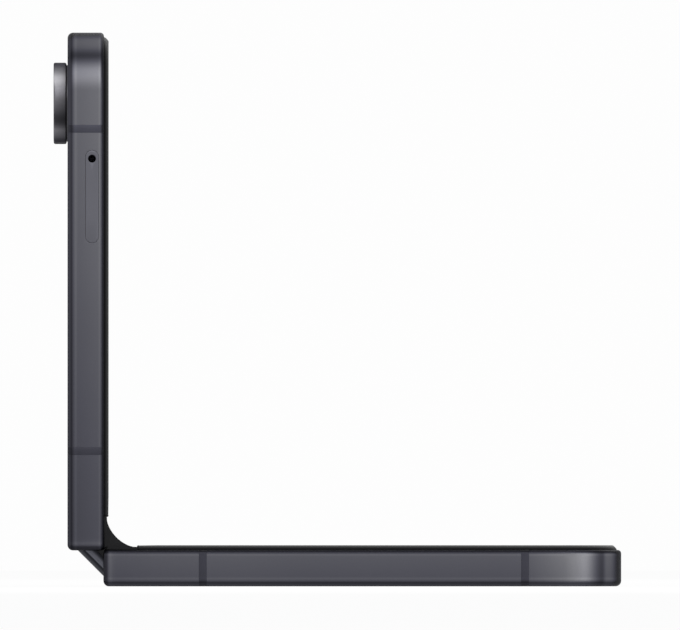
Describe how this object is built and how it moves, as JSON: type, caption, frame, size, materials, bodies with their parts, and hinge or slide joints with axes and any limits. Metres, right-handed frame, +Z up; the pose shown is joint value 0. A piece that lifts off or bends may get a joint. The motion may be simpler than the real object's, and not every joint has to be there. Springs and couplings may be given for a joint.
{
  "type": "foldable smartphone",
  "caption": "Clamshell phone with a folding inner screen, geared dual-axis hinge, raised camera rings, side keys and a card tray, stored open at a right angle.",
  "frame": {"origin": "centre of the lower half's back face, on the surface it lies on", "axes": "+X from the hinge to the lower half's free end, +Y across the phone to the side with the keys, +Z up, along the upper half"},
  "size_m": [0.0914, 0.0753, 0.0891],
  "materials": {
    "frame_metal": "fine satin anodised",
    "band_plastic": "satin, tone of the metal",
    "back_glass": "satin glass over a dark coat",
    "bezel_plastic": "satin",
    "screen_film": "glossy, screen off",
    "cover_panel": "glossy, screen off",
    "web_rubber": "matt",
    "sheet_steel": "brushed",
    "hinge_steel": "sintered, satin",
    "shaft_steel": "ground",
    "gear_steel": "sintered",
    "battery_wrap": "wrapped pouch cell",
    "board_green": "solder mask",
    "black_plastic": "moulded",
    "coil_copper": "wound enamelled wire",
    "magnet_nickel": "nickel plated",
    "flex_film": "polyimide film",
    "lens_glass": "coated, dark",
    "flash_plastic": "milky lens"
  },
  "bodies": {
    "lower_half": {"lower_frame": "frame_metal", "lower_antenna_bands": "band_plastic", "lower_back_glass": "back_glass", "lower_bezel": "bezel_plastic", "display_lower": "screen_film", "display_plate_lower": "sheet_steel", "lower_battery": "battery_wrap", "lower_board": "board_green", "usb_port": "sheet_steel", "loudspeaker": "black_plastic", "vibration_motor": "sheet_steel", "charging_coil": "coil_copper", "lower_magnets": "magnet_nickel", "lower_screws": "shaft_steel", "hinge_arms_lower": "hinge_steel", "hinge_shafts_lower": "shaft_steel", "main_gears_lower": "gear_steel"},
    "lower_wing": {"lower_wing_plate": "sheet_steel"},
    "spine": {"spine_cover": "frame_metal", "spine_end_caps": "frame_metal", "hinge_brackets": "hinge_steel", "bracket_screws": "shaft_steel", "centre_bar": "sheet_steel", "friction_washers": "hinge_steel", "idler_pins": "shaft_steel", "display_fold": "screen_film", "fold_web": "web_rubber", "fold_flex_cable": "flex_film"},
    "idlers_lower": {"idler_gears_lower": "gear_steel"},
    "idlers_upper": {"idler_gears_upper": "gear_steel"},
    "upper_wing": {"upper_wing_plate": "sheet_steel"},
    "upper_half": {"upper_frame": "frame_metal", "upper_antenna_bands": "band_plastic", "upper_back_glass": "back_glass", "cover_display": "cover_panel", "upper_bezel": "bezel_plastic", "display_upper": "screen_film", "display_plate_upper": "sheet_steel", "upper_battery": "battery_wrap", "main_board": "board_green", "shield_cans": "sheet_steel", "camera_rings": "frame_metal", "camera_lenses": "lens_glass", "camera_modules": "black_plastic", "flash_lens": "flash_plastic", "selfie_camera": "black_plastic", "earpiece": "black_plastic", "card_reader": "sheet_steel", "key_switch_board": "flex_film", "upper_magnets": "magnet_nickel", "upper_screws": "shaft_steel", "hinge_arms_upper": "hinge_steel", "hinge_shafts_upper": "shaft_steel", "main_gears_upper": "gear_steel"},
    "volume_key": {"volume_rocker": "frame_metal"},
    "power_button": {"power_key": "frame_metal"},
    "tray": {"card_tray": "frame_metal"}
  },
  "joints": [
    {"name": "lower_fold", "type": "hinge", "parent": "lower_half", "child": "spine", "pos_m": [-0.03985, 0, 0.0046], "axis": [0, 1, 0], "range_deg": [-45, 45], "deforming": ["display_fold", "fold_web", "fold_flex_cable"]},
    {"name": "upper_fold", "type": "hinge", "parent": "spine", "child": "upper_half", "pos_m": [-0.04282, 0, 0.00757], "axis": [0, 1, 0], "range_deg": [-45, 45]},
    {"name": "idlers_lower_turn", "type": "hinge", "parent": "spine", "child": "idlers_lower", "pos_m": [-0.04084, 0, 0.00559], "axis": [0, 1, 0], "range_deg": [-45, 45]},
    {"name": "idlers_upper_turn", "type": "hinge", "parent": "spine", "child": "idlers_upper", "pos_m": [-0.04183, 0, 0.00658], "axis": [0, 1, 0], "range_deg": [-45, 45]},
    {"name": "lower_wing_tilt", "type": "hinge", "parent": "lower_half", "child": "lower_wing", "pos_m": [-0.03615, 0, 0.00525], "axis": [0, 1, 0], "range_deg": [-11.25, 11.25]},
    {"name": "upper_wing_tilt", "type": "hinge", "parent": "upper_half", "child": "upper_wing", "pos_m": [-0.04217, 0, 0.01127], "axis": [0, 1, 0], "range_deg": [-11.25, 11.25]},
    {"name": "volume_rock", "type": "hinge", "parent": "upper_half", "child": "volume_key", "pos_m": [-0.04449, 0.03555, 0.06008], "axis": [1, 0, 0], "range_deg": [-1.5, 1.5], "stiffness_Nm_per_rad": 0.02},
    {"name": "power_press", "type": "slide", "parent": "upper_half", "child": "power_button", "axis": [0, -1, 0], "range_m": [0, 0.00025], "stiffness_N_per_m": 400},
    {"name": "tray_slide", "type": "slide", "parent": "upper_half", "child": "tray", "axis": [0, -1, 0], "range_m": [0, 0.021]}
  ],
  "couplings": [
    {"joint": "upper_fold", "follows": "lower_fold", "ratio": 1},
    {"joint": "idlers_lower_turn", "follows": "lower_fold", "ratio": 1},
    {"joint": "idlers_upper_turn", "follows": "lower_fold", "ratio": -1},
    {"joint": "lower_wing_tilt", "follows": "lower_fold", "ratio": -0.25},
    {"joint": "upper_wing_tilt", "follows": "lower_fold", "ratio": 0.25}
  ]
}
